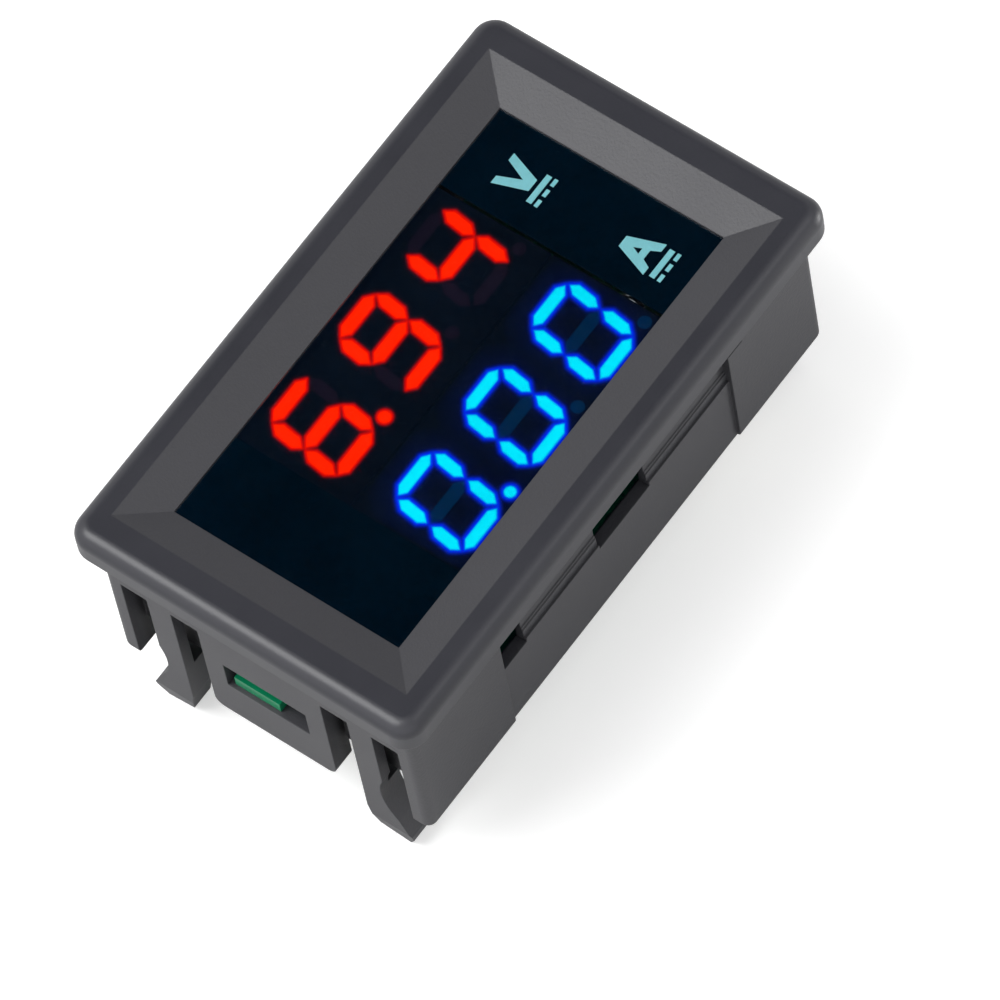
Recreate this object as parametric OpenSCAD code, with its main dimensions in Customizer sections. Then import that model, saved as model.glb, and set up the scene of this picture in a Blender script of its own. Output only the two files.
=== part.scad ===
// Panel meter with two three-digit LED displays, one above the other, in one snap-in housing.
// It lies on its back: +Z looks out of the display, +X runs along the digits, +Y is their up.
// Heights are worked out from the front: back(d) is the height of a plane d behind the bezel's front.

/* [Bezel] */
// Width of the bezel, along the digits
bezel_w = 48; // [47:0.5:56]
// Height of the bezel
bezel_h = 28.6; // [28.4:0.2:34]
// Thickness of the bezel, front to back
bezel_t = 2.5; // [2.5:0.1:3.4]
// Radius of the bezel's corners, seen from the front
bezel_corner_r = 1.7; // [1.3:0.1:2.5]
// Radius round the bezel's front edge
bezel_edge_r = 1.15; // [0.3:0.05:1.25]
// Flat rim and rounded edge together, at the short ends
rim_end = 2.7; // [2.2:0.1:3.2]
// Flat rim and rounded edge together, along the long sides
rim_side = 2.1; // [1.8:0.1:2.4]
// Width of the slope between the rim and the opening
slope_run = 2.9; // [1.5:0.1:3]
// How far the slope drops
slope_drop = 1.07; // [0.5:0.01:1.1]
// Height of the upright land round the opening
opening_land = 0.2; // [0.1:0.05:0.3]

/* [Housing walls] */
// How far the bezel stands out past the body, all round
flange_lip = 1.3; // [0.8:0.1:1.5]
// From the bezel's front to the rear edge of the walls
body_depth = 16.8; // [15:0.1:20]
// Thickness of the walls at the short ends
end_wall = 1.8; // [1.6:0.05:2]
// Thickness of the long walls
side_wall = 1.25; // [0.9:0.05:1.4]
// Radius of the body's upright corners
body_corner_r = 0.7; // [0.4:0.1:0.9]
// Radius along the walls' rear edges
rear_edge_r = 0.35; // [0.1:0.05:0.4]
// Length of the sunk panel in each long wall
side_panel_w = 26; // [20:0.5:30]
// How deep that panel is sunk
side_panel_drop = 0.3; // [0.1:0.05:0.4]
// Width of each rib that the circuit board is pressed against
seat_rib_w = 1.6; // [1:0.1:2]
// How far those ribs stand in from the long walls
seat_rib_reach = 1.2; // [0.8:0.1:1.3]
// Distance of those ribs from the middle
seat_rib_x = 17; // [15:0.5:19]
// Thickness of the screen inside the housing behind each clip leg
screen_t = 0.8; // [0.6:0.05:1]
// Gap between those screens and the tongues, sideways
screen_side = 0.2; // [0.1:0.05:0.4]
// Gap between those screens and the feet of the legs, front to back
screen_gap = 1.4; // [0.8:0.1:2]

/* [Openings in the long walls] */
// Depth of the openings' front edge behind the bezel's front
vent_front = 3.2; // [2.9:0.1:4]
// Depth of the openings' rear edge
vent_rear = 9.85; // [8:0.05:11]
// Start of the narrow opening, from the middle
vent_a_x = -13; // [-13:0.1:-12]
// Length of the narrow opening
vent_a_w = 2.8; // [1.5:0.1:4]
// Start of the wide opening, from the middle
vent_b_x = -1.9; // [-4:0.1:0]
// Length of the wide opening
vent_b_w = 5.7; // [3:0.1:8]
// How deep the first step of the strips between the openings is cut
step_drop = 0.2; // [0.05:0.01:0.25]
// How much deeper each further step is cut
ledge_drop = 0.08; // [0.03:0.01:0.1]
// Height of the first step
step_rise = 0.8; // [0.4:0.05:1.2]
// Height of the narrow second step
step_ledge = 0.3; // [0.2:0.05:0.5]
// Depth of the first step's rear edge behind the bezel's front
step_rear = 9.4; // [8.5:0.05:10.4]
// Length of the shallow pocket that carries on past the sunk panel
relief_w = 1.6; // [0.8:0.1:3]
// Depth of that pocket's rear edge behind the bezel's front
relief_rear = 5.95; // [4.5:0.05:8]
// How deep that pocket is cut
relief_drop = 0.8; // [0.4:0.1:0.8]

/* [Clip legs and tongues] */
// From the bezel's front to the tips of the clip legs
clip_reach = 22.3; // [21:0.1:26]
// Depth at which the slots beside the legs start
slot_front = 6.9; // [5:0.1:9]
// Width of the corner strip left between the outer slot and the long wall's face
corner_strip = 1.45; // [1.3:0.05:1.8]
// How far the tongue reaches past the walls' rear edge
tongue_extra = 0.3; // [0:0.1:0.8]
// Radius of the tongue's rear corners
tongue_corner_r = 0.8; // [0.2:0.1:1.5]
// Slot between the tongue and each leg
inner_slot = 2.25; // [1.2:0.05:2.4]
// Width of each leg
clip_w = 2; // [1.5:0.05:2.2]
// Slot between each leg and the long wall
outer_slot = 2.2; // [2:0.05:2.4]
// Thickness of the springy part of a leg
clip_t = 0.9; // [0.6:0.05:1]
// Thickness of a leg's foot
foot_t = 2.1; // [1.2:0.1:2.4]
// Depth at which the foot starts
foot_front = 15.2; // [13.6:0.1:16]
// How far the barb stands out past the leg's outer edge
barb_out = 1.7; // [0.5:0.1:1.8]
// Depth at which the barb starts to stand out
barb_front = 16.4; // [15.8:0.1:18]
// Depth of the barb's widest point
barb_tip = 20.4; // [18.6:0.1:20.5]
// Height of the barb's upright edge
barb_edge = 0.6; // [0.3:0.05:0.9]
// How far the foot's tip is cut off towards the barb
barb_chamfer = 0.6; // [0.3:0.05:0.9]
// How far the foot's inner edge leans out
heel_lean = 0.55; // [0.2:0.05:0.8]
// Length of that leaning edge
heel_len = 3.3; // [2:0.1:4]
// Height of the foot's underside at the heel, above the tip
heel_lift = 0.7; // [0.3:0.05:1]
// Radius of the hollow in the leg's outer edge, before the barb
waist_r = 5; // [4:0.1:8]
// Distance from the middle of the hollow to the barb
waist_above = 1; // [0.6:0.1:1.4]
// How deep that hollow is
waist_drop = 0.38; // [0.1:0.02:0.5]
// How far the foot's outer face slants in at the tip
foot_bevel = 0.45; // [0.1:0.05:0.6]
// Length of that slant
foot_bevel_len = 2.2; // [1:0.1:3]
// Width of the tongue on each side of its opening
catch_side = 1.65; // [1:0.05:1.8]
// Depth of the front edge of that opening
catch_front = 10.05; // [9:0.05:11]
// Gap between the board's end tab and the rear edge of that opening
catch_gap = 0.05; // [0.02:0.01:0.1]

/* [Window] */
// Thickness of the tinted window
window_t = 1.2; // [0.8:0.1:1.2]
// How far the window reaches past the opening, under the bezel
window_lap = 0.9; // [0.5:0.1:1]
// Gap all round between the window and its pocket
window_gap = 0.1; // [0.05:0.01:0.15]
// Thickness of the printed films behind the window
legend_t = 0.15; // [0.1:0.05:0.2]
// Gap between the printed films and the displays
legend_gap = 0.15; // [0.05:0.05:0.4]

/* [Displays] */
// Width of one display
display_w = 22.8; // [21.5:0.1:23]
// Height of one display
display_h = 10.2; // [9.8:0.1:10.3]
// Depth of one display
display_d = 8; // [6:0.1:8.4]
// Gap between the window and the displays
display_gap = 0.2; // [0.16:0.02:0.4]
// Distance between the middles of the two displays
display_pitch = 10.4; // [10.35:0.05:10.6]
// Sideways place of the displays
display_x = 0.25; // [-0.5:0.05:0.5]
// Up and down place of the pair of displays
display_y = 0.15; // [-0.3:0.05:0.4]
// Wall round the sunk back of a display
display_wall = 0.8; // [0.5:0.1:1.2]
// How deep the back of a display is sunk
display_sink = 0.6; // [0.3:0.1:1]
// Digits that the upper display shows
voltage_reading = "694"; // ["694", "888", "120", "507"]
// Digits that the lower display shows
current_reading = "000"; // ["000", "888", "123", "456"]
// Distance between digits
digit_pitch = 7.65; // [7.4:0.05:7.7]
// Width of a digit over its segments
digit_w = 5.1; // [4.4:0.1:5.4]
// Height of a digit over its segments
digit_h = 7.1; // [6.2:0.1:7.6]
// Width of a segment
segment_w = 0.98; // [0.6:0.02:1.1]
// Length of a segment's pointed end
segment_taper = 0.62; // [0.5:0.02:0.8]
// Gap at the tips of the segments
segment_gap = 0.15; // [0.05:0.01:0.3]
// Depth of the clear filling of a segment
segment_d = 1.2; // [0.5:0.1:2]
// Slant of the digits, in degrees
digit_slant = 8; // [0:1:12]
// Radius of a decimal point
point_r = 0.5; // [0.3:0.05:0.6]
// Distance of a decimal point from its digit's middle
point_x = 3.3; // [3.2:0.05:3.4]
// Diameter of the displays' pins
display_pin_d = 0.5; // [0.4:0.05:0.6]
// Distance between the displays' pins
display_pin_pitch = 2.54; // [2.4:0.02:2.6]
// Distance between a display's two rows of pins
display_row_pitch = 7.62; // [7.3:0.02:7.8]

/* [Circuit board] */
// Depth of the board's front face behind the bezel's front
board_front = 11.85; // [11.5:0.05:12]
// Thickness of the board
board_t = 1; // [0.8:0.05:1.2]
// Gap between the board and the walls
board_gap = 0.2; // [0.1:0.05:0.3]
// Free width of a tongue's opening on the upper side of the board's end tab
tab_gap_high = 0.45; // [0.2:0.05:1]
// Free width of that opening on the lower side of the tab
tab_gap_low = 2.65; // [0.4:0.05:2.9]
// How far the tabs stay behind the tongues' outer face
tab_inset = 0.3; // [0.1:0.05:0.5]
// How far pins and wires stick out past the board
solder_tail = 0.9; // [0.5:0.05:1]

/* [Headers] */
// Distance between the pins of the three-pin header
supply_pitch = 2; // [2:0.1:2.2]
// Side of the three-pin header's square pins
supply_pin = 0.5; // [0.4:0.05:0.6]
// Width of the three-pin header
supply_header_w = 4.5; // [4:0.1:4.8]
// Height of the three-pin header
supply_header_h = 6; // [5:0.1:7]
// Wall of the three-pin header
supply_header_wall = 0.6; // [0.5:0.05:0.8]
// Distance between the pins of the two-pin header
load_pitch = 3.96; // [3.8:0.02:4.2]
// Side of the two-pin header's square pins
load_pin = 1.1; // [0.8:0.05:1.14]
// Width of the two-pin header
load_header_w = 7.5; // [6:0.1:7.8]
// Height of the two-pin header
load_header_h = 7.2; // [6:0.1:8]
// Wall of the two-pin header
load_header_wall = 0.8; // [0.6:0.05:1]
// Plastic past the last pin, at each end of a header
header_end = 1.95; // [1.8:0.05:2]
// Thickness of a header's floor
header_floor = 1.2; // [1:0.1:1.6]
// Play between a pin and its hole in the board
hole_play = 0.3; // [0.2:0.05:0.4]

/* [Current shunt] */
// Diameter of the shunt's wire
shunt_d = 1.4; // [1:0.1:1.6]
// Distance between the shunt's two ends
shunt_span = 6.5; // [5:0.1:7]
// How far the shunt stands off the board
shunt_rise = 3.2; // [2.6:0.1:4]
// Radius of the shunt's bends, at the middle of the wire
shunt_bend = 1.5; // [1:0.1:2]

/* [Trimmers] */
// Length of a trimmer's base
trimmer_l = 4.4; // [4:0.1:4.6]
// Width of a trimmer's base
trimmer_w = 4; // [3.6:0.1:4.2]
// Height of a trimmer's base
trimmer_h = 1.3; // [1.2:0.1:1.8]
// Diameter of the turning disc
rotor_d = 3.2; // [2.6:0.1:3.4]
// Thickness of the turning disc
rotor_t = 0.7; // [0.6:0.05:1]
// Diameter of the disc's spindle
spindle_d = 1.2; // [0.9:0.05:1.4]
// Length of the disc's spindle
spindle_l = 1; // [0.6:0.05:1.1]
// Play between the spindle and its bore, on the radius
spindle_play = 0.05; // [0.02:0.01:0.1]
// Gap between the disc and the base
rotor_gap = 0.05; // [0.03:0.01:0.1]
// Width of the screwdriver cross
cross_w = 0.5; // [0.3:0.05:0.6]
// Depth of the screwdriver cross
cross_d = 0.35; // [0.2:0.05:0.4]

/* [Hidden] */

// Past a cut's own ends, so that it leaves no skin
eps = 0.05;
round_fn = 48;
pin_fn = 24;

// Everything is measured back from the front, and the clip tips stand at height 0
front_z = clip_reach;
function back(d) = front_z - d;

// Body and cavity, from the bezel
body_w = bezel_w - 2 * flange_lip;
body_h = bezel_h - 2 * flange_lip;
cavity_w = body_w - 2 * end_wall;
cavity_h = body_h - 2 * side_wall;
opening_w = bezel_w - 2 * (rim_end + slope_run);
opening_h = bezel_h - 2 * (rim_side + slope_run);

// Window and displays, front to back
window_front = slope_drop + opening_land;
window_back = window_front + window_t;
window_w = opening_w + 2 * window_lap;
window_h = opening_h + 2 * window_lap;
display_front = window_back + legend_t + display_gap;
display_back = display_front + display_d;
display_foot = 1.4;
voltage_y = display_y + display_pitch / 2;
current_y = display_y - display_pitch / 2;
film_end = min(window_w, cavity_w - 2 * window_gap) / 2;

// Circuit board
board_back = board_front + board_t;
screen_lap = 0.3;
screen_in = cavity_w / 2 + screen_lap - screen_t;
board_w = 2 * (screen_in - board_gap);
board_h = cavity_h - 2 * board_gap;
tab_reach = body_w / 2 - tab_inset;
display_pins_a_row = 6;

// Clip legs and tongues, counted in from a long wall's face
slots_out = body_h / 2 - corner_strip;
clip_out = slots_out - outer_slot;
clip_in = clip_out - clip_w;
tongue_half = clip_in - inner_slot;
catch_w = 2 * (tongue_half - catch_side);
tab_w = catch_w - tab_gap_high - tab_gap_low;
tab_y = (tab_gap_low - tab_gap_high) / 2;
catch_rear = board_back + catch_gap;
tongue_reach = body_depth + tongue_extra;

// Sizes of the standard parts on the board, as [length, width, height]
controller_size = [6.5, 4.4, 1];
amplifier_size = [4.9, 3.9, 1.45];
regulator_size = [4.5, 2.5, 1.5];
diode_size = [2.6, 4.3, 2];
tantalum_size = [2.8, 3.5, 1.9];
capacitor_size = [1.25, 2, 0.9];
resistor_size = [1.6, 0.8, 0.45];
terminal_size = [0.9, 0.5, 0.45];
terminal_spread = 1.3;

// Bent leads of the chips: pitch, width and reach across the chip
controller_pitch = 0.65;
controller_lead_w = 0.25;
controller_reach = 6.4;
amplifier_pitch = 1.27;
amplifier_lead_w = 0.4;
amplifier_reach = 6;
chip_lift = 0.1;
lead_t = 0.2;
lead_foot = 0.55;

// Flat leads of the regulator: pitch, width, length and thickness, and its cooling tab
regulator_pitch = 1.5;
regulator_lead_w = 0.5;
regulator_lead_l = 0.9;
regulator_lead_t = 0.4;
cooling_tab_w = 1.7;
cooling_tab_l = 0.7;

// From the board's edges to the middles of the parts near them
supply_edge = 5.6;
load_edge = 5.8;
header_edge = 6.65;
shunt_edge = 4.5;
trimmer_edge_x = 7.6;
trimmer_edge_y = 4.35;
diode_edge = 1.7;

// Between the middles of neighbouring parts
shunt_to_trimmer = 4.5;
diode_to_trimmer = 4.2;
tantalum_to_load = 6.2;
amplifier_off = 4.2;
regulator_off = 1.6;
supply_capacitor_off = [5.3, 1.7];
trimmer_capacitor_off = [-3.9, 0.4];
low_capacitor_step = 3.4;
low_capacitor_off = [3.6, -2.2];
diode_capacitor_off = 4.6;
resistor_step = 2.54;
column_step = 1.5;
resistors_a_row = 4;

// Places of the parts on the back of the board, as [x, y]
supply_at = [supply_edge - board_w / 2, header_edge - board_h / 2];
load_at = [board_w / 2 - load_edge, header_edge - board_h / 2];
voltage_trimmer_at = [trimmer_edge_x - board_w / 2, board_h / 2 - trimmer_edge_y];
current_trimmer_at = [board_w / 2 - trimmer_edge_x, board_h / 2 - trimmer_edge_y];
shunt_at = [board_w / 2 - shunt_edge, current_trimmer_at[1] - shunt_to_trimmer];
diode_at = [diode_edge - board_w / 2, voltage_trimmer_at[1] - diode_to_trimmer];
controller_at = [display_x, voltage_y];
amplifier_at = [display_x - amplifier_off, current_y];
regulator_at = [display_x + regulator_off, current_y];
tantalum_at = [load_at[0] - tantalum_to_load, load_at[1]];
capacitor_places = [
    supply_at + supply_capacitor_off, supply_at + [supply_capacitor_off[0], -supply_capacitor_off[1]],
    voltage_trimmer_at + low_capacitor_off, current_trimmer_at + trimmer_capacitor_off,
    current_trimmer_at + trimmer_capacitor_off - [0, low_capacitor_step],
    diode_at + [0, diode_capacitor_off]
];

// Segments of each digit from 0 to 9, by the usual letters
SEGMENTS = ["abcdef", "bc", "abdeg", "abcdg", "bcfg", "acdfg", "acdefg", "abc", "abcdefg", "abcdfg"];
LETTERS = "abcdefg";
POINT_DIGIT = 0;

plastic = "#46474c";
tinted = "#0a1214";
display_black = "#17181a";
lit_red = "#ff2a14";
lit_cyan = "#12d8ff";
dark_grey = "#2c2e33";
tinned = "#c2c4c8";
board_green = "#0b7a4b";
cream = "#ece7d8";
chip_black = "#1c1c1e";
copper = "#b3763f";

// ---------- Helpers ----------

// Both long sides, or both short ends, from the one drawn at plus
module both_sides() {
    children();
    mirror([0, 1, 0]) children();
}

module both_ends() {
    children();
    mirror([1, 0, 0]) children();
}

// A plate that stands across the long direction: drawn in [y, z], thickness along +X
module end_plate(t) {
    rotate([90, 0, 90]) linear_extrude(t) children();
}

// A box between two depths behind the front, centred on x and y
module depth_box(w, h, d0, d1, at = [0, 0]) {
    translate([at[0] - w / 2, at[1] - h / 2, back(d1)]) cube([w, h, d1 - d0]);
}

// Section of a rounded edge, from the corner's middle outwards
module edge_section(r_corner, t, r_edge) {
    square([r_corner, t - r_edge]);
    square([r_corner - r_edge, t]);
    translate([r_corner - r_edge, t - r_edge]) intersection() {
        circle(r_edge, $fn = round_fn);
        square(r_edge);
    }
}

// A slab with rounded corners, and a rounded edge round its top
module soft_slab(w, h, t, r_corner, r_edge) {
    straight_w = w - 2 * r_corner;
    straight_h = h - 2 * r_corner;
    translate([-straight_w / 2, -straight_h / 2, 0]) cube([straight_w, straight_h, t]);
    both_ends() translate([straight_w / 2, 0, 0]) rotate([90, 0, 0])
        linear_extrude(straight_h, center = true) edge_section(r_corner, t, r_edge);
    both_sides() translate([0, straight_h / 2, 0]) rotate([90, 0, 90])
        linear_extrude(straight_w, center = true) edge_section(r_corner, t, r_edge);
    both_ends() both_sides() translate([straight_w / 2, straight_h / 2, 0])
        rotate_extrude(angle = 90, $fn = round_fn) edge_section(r_corner, t, r_edge);
}

// ---------- Housing: one moulding ----------

// Section of the funnel, half width w at the rim, drawn in [x, z]
module funnel_section(w) {
    polygon([
        [-w, back(0)], [-w + slope_run, back(slope_drop)], [-w + slope_run, back(bezel_t + eps)],
        [w - slope_run, back(bezel_t + eps)], [w - slope_run, back(slope_drop)], [w, back(0)],
        [w, back(-1)], [-w, back(-1)]
    ]);
}

// Two crossed prisms meet in the mitred slopes and the opening
module funnel() {
    rim_w = opening_w / 2 + slope_run;
    rim_h = opening_h / 2 + slope_run;
    intersection() {
        rotate([90, 0, 0]) linear_extrude(bezel_h, center = true) funnel_section(rim_w);
        rotate([90, 0, 90]) linear_extrude(bezel_w, center = true) funnel_section(rim_h);
    }
}

module bezel() {
    difference() {
        translate([0, 0, back(bezel_t)])
            soft_slab(bezel_w, bezel_h, bezel_t, bezel_corner_r, bezel_edge_r);
        funnel();
        depth_box(window_w + 2 * window_gap, window_h + 2 * window_gap, window_front, bezel_t + eps);
    }
}

// Walls of the body, with their rear edges rounded and the short ends cut away for the clips
module walls() {
    difference() {
        translate([0, 0, back(bezel_t)]) mirror([0, 0, 1])
            soft_slab(body_w, body_h, body_depth - bezel_t, body_corner_r, rear_edge_r);
        depth_box(cavity_w, cavity_h, bezel_t - eps, body_depth + eps);
        depth_box(body_w + 1, 2 * slots_out, slot_front, body_depth + eps);
        both_sides() side_cuts();
    }
}

// Sunk panel, openings and steps of one long wall
module side_cuts() {
    panel_y = body_h / 2 - side_panel_drop;
    depth_box(side_panel_w, 2 * side_panel_drop, bezel_t, body_depth + eps, [0, body_h / 2]);
    through = 2 * (side_wall + eps);
    depth_box(vent_a_w, through, vent_front, vent_rear, [vent_a_x + vent_a_w / 2, body_h / 2]);
    depth_box(vent_b_w, through, vent_front, vent_rear, [vent_b_x + vent_b_w / 2, body_h / 2]);
    step_cuts(vent_a_x + vent_a_w, vent_b_x, panel_y);
    step_cuts(vent_b_x + vent_b_w, side_panel_w / 2, panel_y);
    depth_box(relief_w, 2 * relief_drop, bezel_t, relief_rear, [(side_panel_w + relief_w) / 2, body_h / 2]);
}

// Three steps, each cut deeper than the one behind it, between x0 and x1
module step_cuts(x0, x1, panel_y) {
    edges = [step_rear, step_rear - step_rise, step_rear - step_rise - step_ledge];
    for (i = [0:2])
        depth_box(x1 - x0, 2 * (step_drop + i * ledge_drop), bezel_t, edges[i], [(x0 + x1) / 2, panel_y]);
}

// Outline of one leg in [y, z]: straight, then hollowed, then flared into the barb
module leg_outline() {
    hollow_y = clip_out - waist_drop + waist_r;
    // The flank starts just inside the hollow, so that the two cross cleanly
    neck_y = hollow_y - sqrt(waist_r * waist_r - waist_above * waist_above) + 2 * eps;
    barb_y = neck_y + barb_out;
    difference() {
        polygon([
            [clip_in, back(slot_front - eps)], [clip_out, back(slot_front - eps)],
            [clip_out, back(barb_front - waist_above)], [neck_y, back(barb_front)],
            [barb_y, back(barb_tip)], [barb_y, back(barb_tip + barb_edge)],
            [barb_y - barb_chamfer, back(clip_reach)],
            [clip_in + heel_lean, back(clip_reach - heel_lift)], [clip_in, back(clip_reach - heel_len)]
        ]);
        translate([hollow_y, back(barb_front - waist_above)]) circle(waist_r, $fn = 2 * round_fn);
    }
}

// One clip leg at the +X, +Y corner: a thin springy leg that ends in a thicker foot
module clip_leg() {
    difference() {
        union() {
            translate([body_w / 2 - clip_t, 0, 0]) end_plate(clip_t) leg_outline();
            translate([body_w / 2 - foot_t, 0, 0]) end_plate(foot_t) intersection() {
                leg_outline();
                translate([0, back(clip_reach)]) square([body_h / 2, clip_reach - foot_front]);
            }
        }
        rotate([90, 0, 0]) linear_extrude(2 * body_h, center = true) polygon([
            [body_w / 2, back(clip_reach - foot_bevel_len)],
            [body_w / 2 - foot_bevel, back(clip_reach + eps)],
            [body_w / 2 + 1, back(clip_reach + eps)],
            [body_w / 2 + 1, back(clip_reach - foot_bevel_len)]
        ]);
    }
}

// The tongue at +X, whose opening holds the board's end tab
module tongue() {
    difference() {
        translate([body_w / 2 - end_wall, 0, 0]) end_plate(end_wall) {
            translate([-tongue_half, back(tongue_reach - tongue_corner_r)])
                square([2 * tongue_half, tongue_reach - tongue_corner_r - slot_front + eps]);
            translate([-tongue_half + tongue_corner_r, back(tongue_reach)])
                square([2 * (tongue_half - tongue_corner_r), tongue_reach - slot_front]);
            for (side = [-1, 1])
                translate([side * (tongue_half - tongue_corner_r), back(tongue_reach - tongue_corner_r)])
                    circle(tongue_corner_r, $fn = round_fn);
        }
        depth_box(3 * end_wall, catch_w, catch_front, catch_rear, [body_w / 2, 0]);
    }
}

// Ribs inside the long walls, which stop the board on its way in
module seat_ribs() {
    both_ends() both_sides()
        depth_box(seat_rib_w, seat_rib_reach + eps, bezel_t - eps, board_front,
            [seat_rib_x, (cavity_h - seat_rib_reach + eps) / 2]);
}

// Screens that carry the end walls on behind the clip legs, past the ends of the board
module leg_screens() {
    low = tongue_half + screen_side;
    both_ends() both_sides()
        depth_box(screen_t, cavity_h / 2 - low + eps, slot_front - screen_t, foot_front - screen_gap,
            [screen_in + screen_t / 2, (cavity_h / 2 + low + eps) / 2]);
}

module housing() {
    color(plastic) {
        bezel();
        walls();
        both_ends() both_sides() clip_leg();
        both_ends() tongue();
        seat_ribs();
        leg_screens();
    }
}

// ---------- Window and printed films ----------

module front_window() {
    color(tinted) depth_box(window_w, window_h, window_front, window_back);
}

// Films at both ends of the displays; the one at +X carries the two unit signs
module legend_strip() {
    color(dark_grey) for (side = [-1, 1]) {
        inner = side * display_x + display_w / 2 + legend_gap;
        depth_box(film_end - inner, window_h, window_back, window_back + legend_t,
            [side * (film_end + inner) / 2, 0]);
    }
}

// ---------- Displays ----------

function slanted(p) = [p[0] + p[1] * tan(digit_slant), p[1]];

// A bar with pointed ends, lying along X, of half length reach
function bar(reach) = let (r = segment_w / 2, t = segment_taper)
    [[-reach, 0], [-reach + t, r], [reach - t, r], [reach, 0], [reach - t, -r], [-reach + t, -r]];

// One segment of a digit, by its letter
module segment(letter) {
    column = (digit_w - segment_w) / 2;
    row = (digit_h - segment_w) / 2;
    across = letter == "a" || letter == "d" || letter == "g";
    x = across ? 0 : (letter == "b" || letter == "c" ? column : -column);
    y = across ? (letter == "a" ? row : letter == "d" ? -row : 0)
        : (letter == "b" || letter == "f" ? row / 2 : -row / 2);
    outline = across ? bar(column - segment_gap) : [for (p = bar(row / 2 - segment_gap)) [p[1], -p[0]]];
    polygon([for (p = outline) slanted([x + p[0], y + p[1]])]);
}

module decimal_point() {
    row = (digit_h - segment_w) / 2;
    translate(slanted([point_x, -row])) circle(point_r, $fn = round_fn);
}

function is_lit(letter, digit) = len(search(letter, SEGMENTS[ord(digit) - ord("0")])) > 0;

// The segments of one reading that are lit, or those that are dark, as flat outlines
module reading_outline(reading, lit) {
    for (i = [0:len(reading) - 1]) translate([(i - 1) * digit_pitch, 0]) {
        for (letter = LETTERS) if (is_lit(letter, reading[i]) == lit) segment(letter);
        if ((i == POINT_DIGIT) == lit) decimal_point();
    }
}

module segments(reading, lit, y) {
    translate([display_x, y, back(display_front + segment_d)])
        linear_extrude(segment_d) reading_outline(reading, lit);
}

// Black case with a pocket for each segment, a sunk back and four feet
module display_body(reading, y) {
    difference() {
        depth_box(display_w, display_h, display_front, display_back, [display_x, y]);
        segments(reading, true, y);
        segments(reading, false, y);
        depth_box(display_w - 2 * display_wall, display_h - 2 * display_wall,
            display_back - display_sink, display_back + eps, [display_x, y]);
    }
    for (sx = [-1, 1], sy = [-1, 1])
        depth_box(display_foot, display_foot, display_back - display_sink, board_front, [
            display_x + sx * (display_w - display_foot) / 2,
            y + sy * (display_h - display_foot) / 2
        ]);
}

function display_pin_places(y) = [for (i = [0:display_pins_a_row - 1], side = [-1, 1])
    [
        display_x + (i - (display_pins_a_row - 1) / 2) * display_pin_pitch,
        y + side * display_row_pitch / 2
    ]];

module display_pins(y) {
    top = display_back - display_sink;
    for (p = display_pin_places(y)) translate([p[0], p[1], back(board_back + solder_tail)])
        cylinder(h = board_back + solder_tail - top, d = display_pin_d, $fn = pin_fn);
}

module voltage_display_body() { color(display_black) display_body(voltage_reading, voltage_y); }
module voltage_display_lit_segments() { color(lit_red) segments(voltage_reading, true, voltage_y); }
module voltage_display_dark_segments() { color(dark_grey) segments(voltage_reading, false, voltage_y); }
module voltage_display_pins() { color(tinned) display_pins(voltage_y); }
module current_display_body() { color(display_black) display_body(current_reading, current_y); }
module current_display_lit_segments() { color(lit_cyan) segments(current_reading, true, current_y); }
module current_display_dark_segments() { color(dark_grey) segments(current_reading, false, current_y); }
module current_display_pins() { color(tinned) display_pins(current_y); }

// ---------- Circuit board ----------

function header_pin_places(at, count, pitch) =
    [for (i = [0:count - 1]) [at[0], at[1] + (i - (count - 1) / 2) * pitch]];
function shunt_places() = [for (side = [-1, 1]) [shunt_at[0] + side * shunt_span / 2, shunt_at[1]]];

module board_holes(places, d) {
    for (p = places) translate([p[0], p[1], back(board_back + eps)])
        cylinder(h = board_t + 2 * eps, d = d, $fn = pin_fn);
}

module circuit_board() {
    color(board_green) difference() {
        union() {
            depth_box(board_w, board_h, board_front, board_back);
            depth_box(2 * tab_reach, tab_w, board_front, board_back, [0, tab_y]);
        }
        board_holes(display_pin_places(voltage_y), display_pin_d + hole_play);
        board_holes(display_pin_places(current_y), display_pin_d + hole_play);
        board_holes(header_pin_places(supply_at, 3, supply_pitch), sqrt(2) * supply_pin + hole_play);
        board_holes(header_pin_places(load_at, 2, load_pitch), sqrt(2) * load_pin + hole_play);
        board_holes(shunt_places(), shunt_d + hole_play);
    }
}

// ---------- Headers, on the back of the board ----------

// An open box with a floor, a slot for the plug's key on one side, and a square hole for each pin
module header(at, count, pitch, pin, w, h, wall) {
    l = (count - 1) * pitch + 2 * header_end;
    rear = board_back + h;
    difference() {
        depth_box(w, l, board_back, rear, at);
        depth_box(w - 2 * wall, l - 2 * wall, board_back + header_floor, rear + eps, at);
        depth_box(3 * wall, pitch, board_back + 2 * header_floor, rear + eps, [at[0] + w / 2, at[1]]);
        for (p = header_pin_places(at, count, pitch))
            depth_box(pin, pin, board_back - eps, rear, p);
    }
}

module header_pins(at, count, pitch, pin, h) {
    tip = 0.2 * pin;
    for (p = header_pin_places(at, count, pitch)) {
        depth_box(pin, pin, board_front - solder_tail, board_back + h - 2 * pin, p);
        depth_box(pin - 2 * tip, pin - 2 * tip, board_back + h - 2 * pin, board_back + h - 1.5 * pin, p);
    }
}

module supply_header() {
    color(cream) header(supply_at, 3, supply_pitch, supply_pin, supply_header_w, supply_header_h,
        supply_header_wall);
}
module supply_header_pins() {
    color(tinned) header_pins(supply_at, 3, supply_pitch, supply_pin, supply_header_h);
}
module load_header() {
    color(cream) header(load_at, 2, load_pitch, load_pin, load_header_w, load_header_h,
        load_header_wall);
}
module load_header_pins() {
    color(tinned) header_pins(load_at, 2, load_pitch, load_pin, load_header_h);
}

// ---------- Shunt: one thick wire bent into a bridge ----------

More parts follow.
